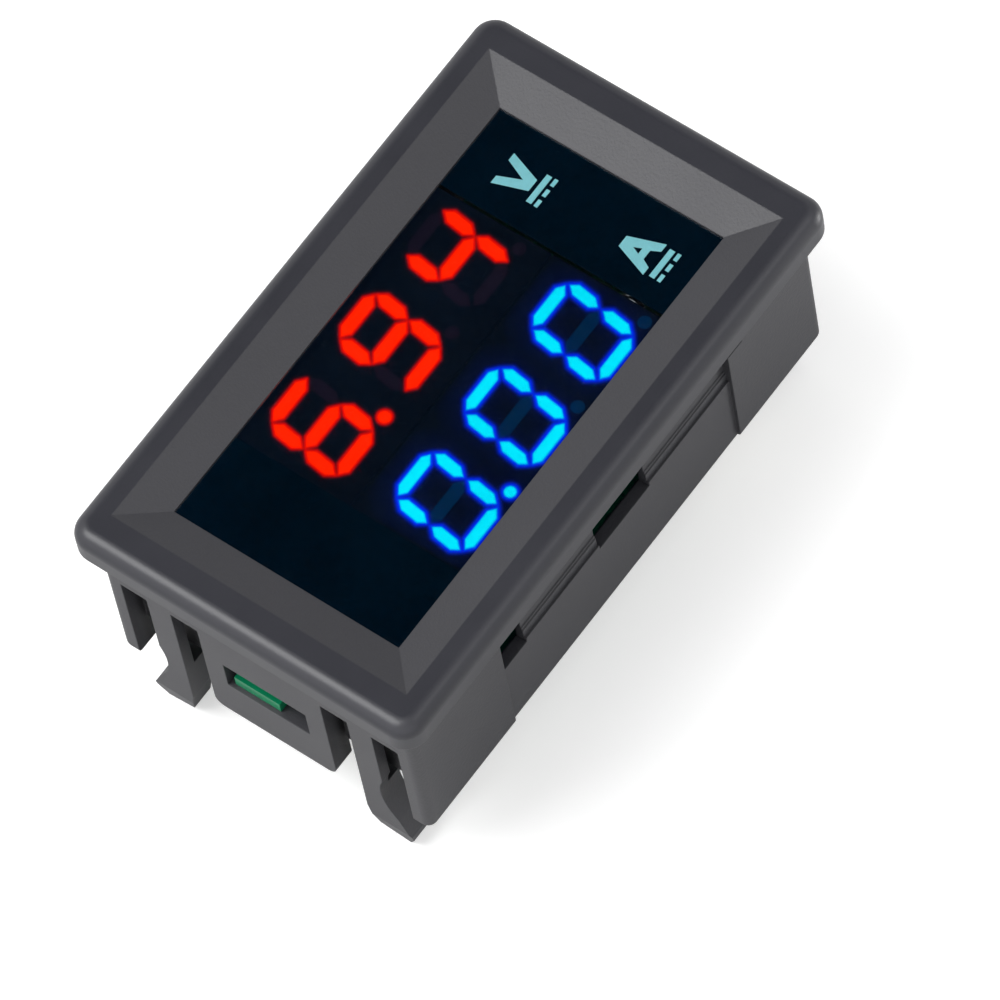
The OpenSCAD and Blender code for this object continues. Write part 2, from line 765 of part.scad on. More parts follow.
module current_shunt() {
    leg = board_t + solder_tail + shunt_rise - shunt_bend;
    color(copper) translate([shunt_at[0], shunt_at[1], back(board_front - solder_tail)]) {
        both_ends() translate([shunt_span / 2, 0, -leg]) {
            cylinder(h = leg, d = shunt_d, $fn = round_fn);
            translate([-shunt_bend, 0, 0]) rotate([-90, 0, 0])
                rotate_extrude(angle = 90, $fn = round_fn)
                    translate([shunt_bend, 0]) circle(d = shunt_d, $fn = round_fn);
        }
        translate([0, 0, -leg - shunt_bend]) rotate([0, 90, 0])
            cylinder(h = shunt_span - 2 * shunt_bend, d = shunt_d, center = true, $fn = round_fn);
    }
}

// ---------- Trimmers: a base, three terminals and a disc that a screwdriver turns ----------

module trimmer_base(at) {
    color(cream) difference() {
        depth_box(trimmer_l, trimmer_w, board_back, board_back + trimmer_h, at);
        translate([at[0], at[1], back(board_back + trimmer_h + eps)])
            cylinder(h = spindle_l + eps, r = spindle_d / 2 + spindle_play, $fn = round_fn);
    }
}

// Two terminals on one long side and one opposite
module trimmer_terminals(at) {
    reach = (trimmer_w + terminal_size[1]) / 2;
    color(tinned) for (p = [[-terminal_spread, -reach], [terminal_spread, -reach], [0, reach]])
        depth_box(terminal_size[0], terminal_size[1], board_back, board_back + terminal_size[2], at + p);
}

// The disc's cross has one long arm, which shows where it points
module trimmer_rotor(at) {
    top = board_back + trimmer_h;
    rear = top + rotor_gap + rotor_t;
    color(tinned) difference() {
        union() {
            translate([at[0], at[1], back(rear)]) cylinder(h = rotor_t, d = rotor_d, $fn = round_fn);
            translate([at[0], at[1], back(rear)])
                cylinder(h = rear - top + spindle_l - rotor_gap, d = spindle_d, $fn = round_fn);
        }
        depth_box(cross_w, 0.6 * rotor_d, rear - cross_d, rear + eps, at);
        depth_box(0.6 * rotor_d, cross_w, rear - cross_d, rear + eps, at);
        depth_box(cross_w, rotor_d / 2 + eps, rear - cross_d, rear + eps, at + [0, rotor_d / 4]);
    }
}

module voltage_trimmer_base() { trimmer_base(voltage_trimmer_at); }
module voltage_trimmer_terminals() { trimmer_terminals(voltage_trimmer_at); }
module voltage_trimmer_rotor() { trimmer_rotor(voltage_trimmer_at); }
module current_trimmer_base() { trimmer_base(current_trimmer_at); }
module current_trimmer_terminals() { trimmer_terminals(current_trimmer_at); }
module current_trimmer_rotor() { trimmer_rotor(current_trimmer_at); }

// ---------- Parts soldered flat on the back of the board ----------

// A part's body, standing off the board by lift
module flat_part(size, at, lift = 0) {
    depth_box(size[0], size[1], board_back + lift, board_back + lift + size[2], at);
}

// Bent leads along both long sides of a chip, which span reach across it
module gull_leads(size, at, count, pitch, w, reach) {
    middle = board_back + chip_lift + size[2] / 2;
    for (i = [0:count - 1], side = [0, 1])
        translate([at[0] + (i - (count - 1) / 2) * pitch - w / 2, at[1], 0])
            mirror([0, side, 0]) end_plate(w) polygon([
                [size[1] / 2, back(middle - lead_t / 2)],
                [reach / 2 - lead_foot, back(middle - lead_t / 2)],
                [reach / 2 - lead_foot, back(board_back)],
                [reach / 2, back(board_back)],
                [reach / 2, back(board_back + lead_t)],
                [reach / 2 - lead_foot + lead_t, back(board_back + lead_t)],
                [reach / 2 - lead_foot + lead_t, back(middle + lead_t / 2)],
                [size[1] / 2, back(middle + lead_t / 2)]
            ]);
}

module controller_chip() { color(chip_black) flat_part(controller_size, controller_at, chip_lift); }
module controller_leads() {
    color(tinned) gull_leads(controller_size, controller_at, 10, controller_pitch, controller_lead_w,
        controller_reach);
}
module amplifier_chip() { color(chip_black) flat_part(amplifier_size, amplifier_at, chip_lift); }
module amplifier_leads() {
    color(tinned) gull_leads(amplifier_size, amplifier_at, 4, amplifier_pitch, amplifier_lead_w,
        amplifier_reach);
}

module regulator_chip() { color(chip_black) flat_part(regulator_size, regulator_at); }

// Three narrow leads on one side, and the wide cooling tab on the other
module regulator_leads() {
    y = regulator_size[1] / 2;
    color(tinned) {
        for (i = [-1:1])
            depth_box(regulator_lead_w, regulator_lead_l, board_back, board_back + regulator_lead_t,
                regulator_at + [regulator_pitch * i, -y - regulator_lead_l / 2]);
        depth_box(cooling_tab_w, cooling_tab_l, board_back, board_back + regulator_lead_t,
            regulator_at + [0, y + cooling_tab_l / 2]);
    }
}

module reverse_diode() { color(chip_black) flat_part(diode_size, diode_at); }
module filter_capacitor() { color("#c98a2b") flat_part(tantalum_size, tantalum_at); }

module chip_capacitors() {
    color("#a98a68") for (at = capacitor_places) flat_part(capacitor_size, at);
}

// A row between the displays' pins, and a column at the supply end
module chip_resistors() {
    color(chip_black) {
        for (side = [-1, 1], i = [0:resistors_a_row - 1])
            flat_part(resistor_size, [display_x + side * (i + 0.5) * resistor_step, display_y]);
        for (i = [0:resistors_a_row - 1])
            flat_part(resistor_size, [diode_at[0], supply_at[1] + (i - 1.5) * column_step]);
    }
}

housing();
front_window();
legend_strip();
voltage_display_body();
voltage_display_lit_segments();
voltage_display_dark_segments();
voltage_display_pins();
current_display_body();
current_display_lit_segments();
current_display_dark_segments();
current_display_pins();
circuit_board();
supply_header();
supply_header_pins();
load_header();
load_header_pins();
current_shunt();
voltage_trimmer_base();
voltage_trimmer_terminals();
voltage_trimmer_rotor();
current_trimmer_base();
current_trimmer_terminals();
current_trimmer_rotor();
controller_chip();
controller_leads();
amplifier_chip();
amplifier_leads();
regulator_chip();
regulator_leads();
reverse_diode();
filter_capacitor();
chip_capacitors();
chip_resistors();
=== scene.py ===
# %% [markdown]
# # A snap-in panel meter, dressed for a studio shot
#
# The solids come ready made: a moulded housing, a smoked window, two display modules, a circuit
# board and the parts soldered to its back. This lesson gives every one of them its finish, and
# adds what is too thin or too soft-edged for solids: printed signs, the glow round lit segments,
# copper tracks, solder and the white print on the board.
#
# We start with the frame.

# %% Load the solids
import math

import bpy
import numpy as np
from mathutils import Matrix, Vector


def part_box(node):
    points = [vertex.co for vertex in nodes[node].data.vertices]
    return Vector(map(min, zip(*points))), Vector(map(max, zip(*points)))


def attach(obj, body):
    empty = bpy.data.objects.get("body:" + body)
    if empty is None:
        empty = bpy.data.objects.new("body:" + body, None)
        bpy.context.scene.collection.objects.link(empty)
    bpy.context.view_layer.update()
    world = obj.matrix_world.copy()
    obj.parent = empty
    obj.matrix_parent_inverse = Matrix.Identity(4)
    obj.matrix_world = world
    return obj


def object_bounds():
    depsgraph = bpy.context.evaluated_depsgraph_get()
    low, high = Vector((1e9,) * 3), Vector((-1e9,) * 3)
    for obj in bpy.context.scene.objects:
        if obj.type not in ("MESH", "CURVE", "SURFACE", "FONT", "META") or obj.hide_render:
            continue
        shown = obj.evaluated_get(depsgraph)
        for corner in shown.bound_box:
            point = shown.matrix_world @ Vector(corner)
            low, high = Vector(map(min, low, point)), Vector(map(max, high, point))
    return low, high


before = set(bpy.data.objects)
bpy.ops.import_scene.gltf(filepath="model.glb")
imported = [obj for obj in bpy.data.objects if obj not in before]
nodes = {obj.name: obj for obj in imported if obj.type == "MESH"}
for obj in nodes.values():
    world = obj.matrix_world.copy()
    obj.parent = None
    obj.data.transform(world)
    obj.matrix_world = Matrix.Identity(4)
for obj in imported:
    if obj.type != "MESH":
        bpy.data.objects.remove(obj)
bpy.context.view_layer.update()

# %% [markdown]
# ## Measures
#
# Blender works in metres here. Heights on this object are easiest to say as a depth behind the
# front of the bezel, so `behind(d)` turns such a depth in millimetres into a height.

# %% Where things are
MM = 0.001
low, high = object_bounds()
front = high[2]


def behind(depth):
    """Height of a plane that lies depth millimetres behind the bezel's front: front minus depth."""
    return front - depth * MM


def flat_box(node):
    """A solid's lowest and highest corner, as two plain arrays in metres."""
    a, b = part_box(node)
    return np.array(a), np.array(b)


window_low, window_high = flat_box("front_window")
film_high = flat_box("legend_strip")[1]
board_low, board_high = flat_box("circuit_board")
print("window is", np.round((window_high - window_low) / MM, 2), "mm")
print("board back at", round(board_low[2] / MM, 2), "mm above the clip tips")

# %% [markdown]
# ## The camera
#
# The picture is taken with a long lens from the upper left, so that the front, one short end and
# one long side all show. A camera matrix holds its right, up and backward directions as columns.

# %% Camera
SENSOR_MM = 36.0
LENS_MM = 366.45
camera_right = np.array([0.58641389, -0.80355413, -0.10207599])
camera_up = np.array([0.73970261, 0.47989029, 0.47174713])
camera_back = np.array([-0.33008908, -0.35214495, 0.87580542])
camera_place = np.array([-227.713, -245.077, 587.528]) * MM + np.array([0, 0, front])

camera_data = bpy.data.cameras.new("studio_camera")
camera_data.lens = LENS_MM
camera_data.sensor_width = SENSOR_MM
camera_data.clip_start = 0.01
camera_data.clip_end = 20
camera = bpy.data.objects.new("studio_camera", camera_data)
bpy.context.scene.collection.objects.link(camera)
camera_matrix = np.eye(4)
camera_matrix[:3, :3] = np.stack([camera_right, camera_up, camera_back], axis=1)
camera_matrix[:3, 3] = camera_place
camera.matrix_world = Matrix(camera_matrix.tolist())
bpy.context.scene.camera = camera
print("camera", np.round(camera_place, 3), "lens", LENS_MM)

# %% [markdown]
# ## Helpers for surfaces
#
# Every new piece is worked out as whole arrays of points. Four forms cover all of them: a ribbon
# (a flat band carried along a path), a prism (an outline carried straight up), a turned profile
# (for solder and round marks) and a box with sloping sides (for end caps and pads). Each returns
# points and faces, and `make_piece` joins any number of them into one mesh.


# %% Mesh helper
def make_piece(name, parts, material, body="meter", smooth=False):
    """Joins (points, faces) pairs into one mesh object that rides on a body."""
    points = np.concatenate([p for p, _ in parts])
    starts = np.cumsum([0] + [len(p) for p, _ in parts[:-1]])
    faces = [(f + s).tolist() for (_, fs), s in zip(parts, starts) for f in fs]
    mesh = bpy.data.meshes.new(name)
    mesh.from_pydata(points.tolist(), [], faces)
    mesh.validate()
    mesh.shade_smooth() if smooth else mesh.shade_flat()
    piece = bpy.data.objects.new(name, mesh)
    bpy.context.scene.collection.objects.link(piece)
    mesh.materials.append(material)
    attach(piece, body)
    print(name, len(points), "points")
    return piece


# %% Ribbon along a path
def ribbon(path, width, z_bottom, z_top, closed=False):
    """A flat band carried along a path of [x, y] in metres, with mitred corners.

    At each point the band's edge lies half a width to either side, along the mean of the two
    neighbouring normals, lengthened by one over the cosine of half the turn.
    """
    path = np.asarray(path, float)
    ahead = np.roll(path, -1, axis=0) - path
    if not closed:
        ahead[-1] = ahead[-2]
    ahead /= np.linalg.norm(ahead, axis=1, keepdims=True)
    before = np.roll(ahead, 1, axis=0)
    if not closed:
        before[0] = ahead[0]
    normal_a = np.stack([-ahead[:, 1], ahead[:, 0]], axis=1)
    normal_b = np.stack([-before[:, 1], before[:, 0]], axis=1)
    mitre = normal_a + normal_b
    mitre /= np.linalg.norm(mitre, axis=1, keepdims=True)
    mitre /= np.sum(mitre * normal_a, axis=1, keepdims=True)
    left, right = path + mitre * width / 2, path - mitre * width / 2
    heights = [(left, z_bottom), (right, z_bottom), (right, z_top), (left, z_top)]
    rings = np.stack([np.column_stack([e, np.full(len(e), z)]) for e, z in heights], axis=1)
    n = len(path)
    points = rings.reshape(-1, 3)
    i = np.arange(n if closed else n - 1)[:, None]
    k = np.arange(4)[None, :]
    j = (i + 1) % n
    sides = np.stack([4 * i + k, 4 * i + (k + 1) % 4, 4 * j + (k + 1) % 4, 4 * j + k], axis=-1)
    faces = [np.array(f) for f in sides.reshape(-1, 4)]
    if not closed:
        faces += [np.array([3, 2, 1, 0]), 4 * (n - 1) + np.arange(4)]
    return points, faces


# %% Prism over an outline
def prism(outline, z_bottom, z_top):
    """An outline of [x, y] in metres, anticlockwise, carried straight up between two heights."""
    outline = np.asarray(outline, float)
    n = len(outline)
    points = np.vstack([np.column_stack([outline, np.full(n, z)]) for z in (z_bottom, z_top)])
    k = np.arange(n)
    sides = np.stack([k, (k + 1) % n, n + (k + 1) % n, n + k], axis=1)
    return points, [k[::-1], n + k] + [np.array(f) for f in sides]


# %% Turned profile
def turned(profile, centre, sides=24):
    """A profile of [radius, height] turned round a vertical axis at centre, open ends closed."""
    profile = np.asarray(profile, float)
    angle = np.linspace(0, 2 * np.pi, sides, endpoint=False)
    x = centre[0] + profile[:, 0, None] * np.cos(angle)
    y = centre[1] + profile[:, 0, None] * np.sin(angle)
    z = np.broadcast_to(profile[:, 1, None], x.shape)
    points = np.stack([x, y, z], axis=-1).reshape(-1, 3)
    i = np.arange(len(profile) - 1)[:, None] * sides
    k = np.arange(sides)[None, :]
    n = (k + 1) % sides
    walls = np.stack([i + k, i + n, i + sides + n, i + sides + k], axis=-1).reshape(-1, 4)
    last = (len(profile) - 1) * sides
    caps = [np.arange(sides)[::-1], last + np.arange(sides)]
    return points, [np.array(f) for f in walls] + caps


# %% Block with sloping sides
def block(corner_low, corner_high, draft=0.0):
    """A box from its lowest to its highest corner, whose top is smaller by draft on each side."""
    (x0, y0, z0), (x1, y1, z1) = corner_low, corner_high
    d = draft
    base = [[x0, y0, z0], [x1, y0, z0], [x1, y1, z0], [x0, y1, z0]]
    top = [[x0 + d, y0 + d, z1], [x1 - d, y0 + d, z1], [x1 - d, y1 - d, z1], [x0 + d, y1 - d, z1]]
    faces = [[3, 2, 1, 0], [4, 5, 6, 7], [0, 1, 5, 4], [1, 2, 6, 5], [2, 3, 7, 6], [3, 0, 4, 7]]
    return np.array(base + top, float), [np.array(f) for f in faces]


print("helpers ready: ribbon, prism, turned, block")

# %% [markdown]
# ## Node groups for the finishes
#
# Real mouldings are never one even colour. Two effects come back in almost every material here:
# a fine grain that roughens the skin, and a slow drift of colour and gloss over the surface.
# Both go into one node group, so that each material only says how coarse, how deep and how
# strong. Patterns follow Object coordinates, so they stay on the part when it moves.


# %% Small helpers for node trees
def group_tree(name, inputs, outputs):
    """A new shader node group with named sockets: inputs as (name, kind, value), outputs as (name, kind)."""
    tree = bpy.data.node_groups.new(name, "ShaderNodeTree")
    for label, kind, value in inputs:
        socket = tree.interface.new_socket(label, in_out="INPUT", socket_type=kind)
        socket.default_value = value
    for label, kind in outputs:
        tree.interface.new_socket(label, in_out="OUTPUT", socket_type=kind)
    return tree, tree.nodes.new("NodeGroupInput"), tree.nodes.new("NodeGroupOutput")


def add_node(tree, kind, links=None, **settings):
    """A node of a kind, with settings and with its inputs linked or filled by name or number."""
    node = tree.nodes.new(kind)
    for key, value in settings.items():
        setattr(node, key, value)
    for key, value in (links or {}).items():
        if isinstance(value, bpy.types.NodeSocket):
            tree.links.new(value, node.inputs[key])
        else:
            node.inputs[key].default_value = value
    return node


def sum_of(tree, operation, a, b, clamp=False):
    """The output of a Math node that joins two values or sockets."""
    return add_node(tree, "ShaderNodeMath", {0: a, 1: b}, operation=operation, use_clamp=clamp).outputs[0]


# %% The grain-and-drift group
skin_tree, skin_in, skin_out = group_tree(
    "moulded_skin",
    [
        ("Colour", "NodeSocketColor", (0.5, 0.5, 0.5, 1)),
        ("Grain per metre", "NodeSocketFloat", 6000.0),
        ("Grain depth", "NodeSocketFloat", 0.3),
        ("Drift", "NodeSocketFloat", 0.08),
        ("Roughness", "NodeSocketFloat", 0.5),
        ("Roughness drift", "NodeSocketFloat", 0.06),
    ],
    [("Colour", "NodeSocketColor"), ("Roughness", "NodeSocketFloat"), ("Normal", "NodeSocketVector")],
)
skin_place = add_node(skin_tree, "ShaderNodeTexCoord")
skin_grain = add_node(
    skin_tree, "ShaderNodeTexNoise",
    {"Vector": skin_place.outputs["Object"], "Scale": skin_in.outputs["Grain per metre"], "Detail": 3.0},
)
skin_drift = add_node(
    skin_tree, "ShaderNodeTexNoise", {"Vector": skin_place.outputs["Object"], "Scale": 160.0, "Detail": 4.0}
)
skin_bump = add_node(
    skin_tree, "ShaderNodeBump",
    {"Height": skin_grain.outputs["Fac"], "Strength": skin_in.outputs["Grain depth"], "Distance": 0.00004},
)
drift_part = sum_of(skin_tree, "SUBTRACT", skin_drift.outputs["Fac"], 0.5)
grain_part = sum_of(skin_tree, "SUBTRACT", skin_grain.outputs["Fac"], 0.5)
both_parts = sum_of(skin_tree, "ADD", drift_part, grain_part)
colour_gain = sum_of(skin_tree, "MULTIPLY", both_parts, skin_in.outputs["Drift"])
colour_gain = sum_of(skin_tree, "ADD", sum_of(skin_tree, "MULTIPLY", colour_gain, 2.0), 1.0)
skin_colour = add_node(
    skin_tree, "ShaderNodeVectorMath", {0: skin_in.outputs["Colour"], 1: colour_gain}, operation="MULTIPLY"
)
rough_gain = sum_of(skin_tree, "MULTIPLY", drift_part, skin_in.outputs["Roughness drift"])
rough_gain = sum_of(skin_tree, "MULTIPLY", rough_gain, 2.0)
skin_rough = sum_of(skin_tree, "ADD", rough_gain, skin_in.outputs["Roughness"], True)
skin_tree.links.new(skin_colour.outputs[0], skin_out.inputs["Colour"])
skin_tree.links.new(skin_rough, skin_out.inputs["Roughness"])
skin_tree.links.new(skin_bump.outputs[0], skin_out.inputs["Normal"])
print("group moulded_skin has", len(skin_tree.nodes), "nodes")


# %% One function makes each skin material
def skin_material(name, colour, roughness, grain=6000, depth=0.3, drift=0.08, spread=0.06, shader=None):
    """A Principled material whose colour, roughness and normal come from the moulded_skin group."""
    material = bpy.data.materials.new(name)
    material.use_nodes = True
    tree = material.node_tree
    principled = tree.nodes["Principled BSDF"]
    skin = add_node(tree, "ShaderNodeGroup", node_tree=skin_tree)
    values = [("Colour", (*colour, 1)), ("Grain per metre", grain), ("Grain depth", depth)]
    values += [("Drift", drift), ("Roughness", roughness), ("Roughness drift", spread)]
    for label, value in values:
        skin.inputs[label].default_value = value
    tree.links.new(skin.outputs["Colour"], principled.inputs["Base Color"])
    tree.links.new(skin.outputs["Roughness"], principled.inputs["Roughness"])
    tree.links.new(skin.outputs["Normal"], principled.inputs["Normal"])
    for label, value in (shader or {}).items():
        principled.inputs[label].default_value = value
    return material


print("skin_material ready")

# %% [markdown]
# ## The housing
#
# The housing is one moulding in charcoal ABS. Its mould was sparked to a fine matte grain nearly
# everywhere, but the band round the front, from the flat rim over the rounded edge, was polished
# and comes out smooth and darker. One material does both: a mask, worked out from where a point
# lies, turns the grain off and the gloss up on that band.

# %% Housing material with a polished band
RIM_END, RIM_SIDE, BAND_DEPTH, BAND_BLUR = 2.7, 2.1, 2.45, 0.12
housing_high = flat_box("housing")[1]


def beyond(tree, value, edge, blur):
    """A mask that rises from 0 to 1 as value passes edge, over a width of blur."""
    inputs = {"Value": value, "From Min": edge - blur / 2, "From Max": edge + blur / 2}
    return add_node(tree, "ShaderNodeMapRange", inputs).outputs["Result"]


MATTE, POLISHED = (0.036, 0.036, 0.042, 1), (0.025, 0.0255, 0.033, 1)
abs_plastic = skin_material("charcoal_abs", MATTE[:3], 0.46, grain=5200, depth=0.5, drift=0.1)
tree = abs_plastic.node_tree
place = add_node(tree, "ShaderNodeTexCoord").outputs["Object"]
xyz = add_node(tree, "ShaderNodeSeparateXYZ", {0: place}).outputs
past_end = beyond(tree, sum_of(tree, "ABSOLUTE", xyz[0], 0), housing_high[0] - RIM_END * MM, BAND_BLUR * MM)
past_side = beyond(tree, sum_of(tree, "ABSOLUTE", xyz[1], 0), housing_high[1] - RIM_SIDE * MM, BAND_BLUR * MM)
near_front = beyond(tree, xyz[2], behind(BAND_DEPTH), 0.3 * MM)
polished = sum_of(tree, "MULTIPLY", sum_of(tree, "MAXIMUM", past_end, past_side), near_front)
skin = next(n for n in tree.nodes if n.type == "GROUP")
rough_mix = add_node(tree, "ShaderNodeMapRange", {"Value": polished, "To Min": 0.46, "To Max": 0.36})
tree.links.new(rough_mix.outputs["Result"], skin.inputs["Roughness"])
depth_mix = add_node(tree, "ShaderNodeMapRange", {"Value": polished, "To Min": 0.5, "To Max": 0.05})
tree.links.new(depth_mix.outputs["Result"], skin.inputs["Grain depth"])
dark_mix = add_node(tree, "ShaderNodeMix", {0: polished, 6: MATTE, 7: POLISHED}, data_type="RGBA")
print("charcoal_abs: band starts", RIM_END, "and", RIM_SIDE, "mm in from the edges")

# %% [markdown]
# The inner faces get painted shade, a near-black colour, so the slots beside the clip
# legs look deep. The mask is the space between the walls; the feet of the legs stand behind it.

# %% Painted shade on the inner faces of the housing
INNER_END, INNER_SIDE, INNER_BLUR, SHARP_BLUR = 21.65, 11.85, 0.5, 0.1
INNER_DEPTH, FEET_DEPTH, FEET_BLUR = 2.6, 15.1, 0.3
FOOT_START, FOOT_END, FOOT_BLUR = 5.8, 11.4, 0.2
wide, tall = sum_of(tree, "ABSOLUTE", xyz[0], 0), sum_of(tree, "ABSOLUTE", xyz[1], 0)
outside_end = beyond(tree, wide, INNER_END * MM, INNER_BLUR * MM)
outside_side = beyond(tree, tall, INNER_SIDE * MM, SHARP_BLUR * MM)
in_front = beyond(tree, xyz[2], behind(INNER_DEPTH), SHARP_BLUR * MM)
low_part = sum_of(tree, "SUBTRACT", 1.0, beyond(tree, xyz[2], behind(FEET_DEPTH), FEET_BLUR * MM))
feet = sum_of(tree, "MULTIPLY", beyond(tree, tall, FOOT_START * MM, FOOT_BLUR * MM), low_part)
before_wall = sum_of(tree, "SUBTRACT", 1.0, beyond(tree, tall, FOOT_END * MM, FOOT_BLUR * MM))
feet = sum_of(tree, "MULTIPLY", feet, before_wall)
outer = sum_of(tree, "MAXIMUM", outside_end, outside_side)
outer = sum_of(tree, "MAXIMUM", outer, sum_of(tree, "MAXIMUM", in_front, feet))
# Painted shade: the inner faces are coloured near black instead of charcoal.
INNER_SHADE = (0.006, 0.006, 0.008, 1)
inner_shade_mix = add_node(tree, "ShaderNodeMix", {0: outer, 6: INNER_SHADE, 7: dark_mix.outputs[2]}, data_type="RGBA")
tree.links.new(inner_shade_mix.outputs[2], skin.inputs["Colour"])
print("inner faces start", INNER_END, "mm from the middle")

# %% [markdown]
# A mould's edges are never quite sharp, and the thin bright lines along the clip legs come from
# that. The Bevel node bends the shading normal near an edge as if it were rounded. We take what
# it adds to the true normal and put it on top of the grain's normal.

# %% Soft edges on the housing
EDGE_RADIUS = 0.12
soft_edge = add_node(tree, "ShaderNodeBevel", {"Radius": EDGE_RADIUS * MM}, samples=4)
true_normal = add_node(tree, "ShaderNodeNewGeometry").outputs["Normal"]
bend_inputs = {0: soft_edge.outputs[0], 1: true_normal}
bend = add_node(tree, "ShaderNodeVectorMath", bend_inputs, operation="SUBTRACT")
bent_inputs = {0: skin.outputs["Normal"], 1: bend.outputs[0]}
bent = add_node(tree, "ShaderNodeVectorMath", bent_inputs, operation="ADD")
unit = add_node(tree, "ShaderNodeVectorMath", {0: bent.outputs[0]}, operation="NORMALIZE")
tree.links.new(unit.outputs[0], tree.nodes["Principled BSDF"].inputs["Normal"])
print("edges look rounded by", EDGE_RADIUS, "mm")

# %% [markdown]
# ## The smoked window
#
# The window is a sheet of tinted acrylic. It is real glass in Blender's sense: light goes in,
# bends and comes out again, weakened by the tint. It has a low gloss, so that the white studio
# doesn't wash out the digits behind it.

# %% Window and printed film
smoked_acrylic = bpy.data.materials.new("smoked_acrylic")
smoked_acrylic.use_nodes = True
window_shader = smoked_acrylic.node_tree.nodes["Principled BSDF"]
window_shader.inputs["Transmission Weight"].default_value = 1.0
window_shader.inputs["IOR"].default_value = 1.49
window_shader.inputs["Specular IOR Level"].default_value = 0.3
window_skin = add_node(smoked_acrylic.node_tree, "ShaderNodeGroup", node_tree=skin_tree)
window_values = {"Colour": (0.5, 0.56, 0.6, 1), "Grain depth": 0.0, "Drift": 0.02, "Roughness": 0.03}
for label, value in window_values.items():
    window_skin.inputs[label].default_value = value
for label, target in [("Colour", "Base Color"), ("Roughness", "Roughness")]:
    smoked_acrylic.node_tree.links.new(window_skin.outputs[label], window_shader.inputs[target])
print("window tint", window_values["Colour"][:3])

# %% [markdown]
# What lies behind the window is black, but not dead black: light from the digits wanders about in
# there and leaves a faint blue-green. One function gives a material such a light of its own, and
# films, display cases, digits and signs all use it. None of them has a gloss: the room must not
# be mirrored behind the window.


# %% Materials behind the window
def lit_material(name, colour, light, strength, drift, shader=None):
    """A skin material that also shines: a second copy of the skin group drives its emission."""
    shader = {"Specular IOR Level": 0.0, "Emission Strength": strength, **(shader or {})}
    material = skin_material(name, colour, 0.6, grain=3500, depth=0.0, drift=drift, shader=shader)
    tree = material.node_tree
    light_skin = add_node(tree, "ShaderNodeGroup", node_tree=skin_tree)
    light_skin.inputs["Colour"].default_value = (*light, 1)
    light_skin.inputs["Grain per metre"].default_value = 2500
    light_skin.inputs["Drift"].default_value = drift
    tree.links.new(light_skin.outputs["Colour"], tree.nodes["Principled BSDF"].inputs["Emission Color"])
    return material


printed_film = lit_material("printed_film", (0.001, 0.004, 0.005), (0.0, 0.42, 1.0), 0.013, 0.5)
display_case = lit_material("display_case", (0.001, 0.002, 0.004), (0.12, 0.42, 1.0), 0.013, 0.5)
print("films and cases ready")

# %% [markdown]
# ## Lit and dark segments
#
# Each segment is a slot filled with epoxy that glows evenly when its chip is on. The unlit ones
# are filled with the same epoxy and show as faint bars; their weak emission is painted glow.
# A lit segment is an emission on top of its own colour; a little noise keeps it from looking like cut paper.


# %% Segment materials
lit_red = lit_material("lit_red", (0.05, 0.0, 0.0), (1.0, 0.012, 0.0), 2.6, 0.2)
lit_cyan = lit_material("lit_cyan", (0.0, 0.02, 0.03), (0.0, 0.86, 1.0), 1.75, 0.12)
# Painted glow: the unlit segments get a weak emission of their own.
dark_red = lit_material("unlit_epoxy_red", (0.006, 0.004, 0.006), (0.5, 0.35, 0.9), 0.022, 0.3)
dark_cyan = lit_material("unlit_epoxy_cyan", (0.001, 0.006, 0.012), (0.0, 0.35, 1.0), 0.075, 0.3)
print("segments: lit_red, lit_cyan, unlit_epoxy_red, unlit_epoxy_cyan")

# %% [markdown]
# ## Board, metal and small parts

# %% Board and component materials
solder_mask = skin_material("solder_mask_green", (0.0, 0.205, 0.085), 0.3, grain=2400, depth=0.12, drift=0.12)
cream_nylon = skin_material("cream_nylon", (0.8, 0.77, 0.66), 0.42, grain=4200, depth=0.2, drift=0.04)
epoxy_black = skin_material("epoxy_black", (0.017, 0.017, 0.019), 0.55, grain=9000, depth=0.5, drift=0.12)
tantalum = skin_material("tantalum_orange", (0.62, 0.3, 0.05), 0.4, grain=5000, depth=0.2, drift=0.08)
ceramic = skin_material("ceramic_tan", (0.36, 0.25, 0.165), 0.45, grain=8000, depth=0.3, drift=0.15)
ink_white = skin_material("ink_white", (0.82, 0.83, 0.8), 0.55, grain=12000, depth=0.2, drift=0.06)
METAL = {"Metallic": 1.0}
tinned = skin_material("tinned", (0.74, 0.75, 0.77), 0.24, grain=3000, depth=0.15, drift=0.06, shader=METAL)
solder = skin_material("solder", (0.78, 0.78, 0.79), 0.16, grain=1500, depth=0.2, drift=0.05, shader=METAL)
ALLOY = (0.60, 0.42, 0.30)
alloy_wire = skin_material("resistance_alloy", ALLOY, 0.28, grain=5000, depth=0.2, drift=0.1, shader=METAL)

# %% Give every solid its finish
finish_of = {
    "housing": abs_plastic, "front_window": smoked_acrylic, "legend_strip": printed_film,
    "voltage_display_body": display_case, "current_display_body": display_case,
    "voltage_display_lit_segments": lit_red, "voltage_display_dark_segments": dark_red,
    "current_display_lit_segments": lit_cyan, "current_display_dark_segments": dark_cyan,
    "circuit_board": solder_mask, "supply_header": cream_nylon, "load_header": cream_nylon,
    "current_shunt": alloy_wire, "voltage_trimmer_base": cream_nylon,
    "current_trimmer_base": cream_nylon, "controller_chip": epoxy_black,
    "amplifier_chip": epoxy_black, "regulator_chip": epoxy_black, "reverse_diode": epoxy_black,
    "filter_capacitor": tantalum, "chip_capacitors": ceramic, "chip_resistors": epoxy_black,
}
for node_name, solid in nodes.items():
    material = finish_of.get(node_name, tinned)
    solid.data.materials.clear()
    solid.data.materials.append(material)
print(len(nodes), "solids dressed,", len(set(finish_of.values())) + 1, "materials")

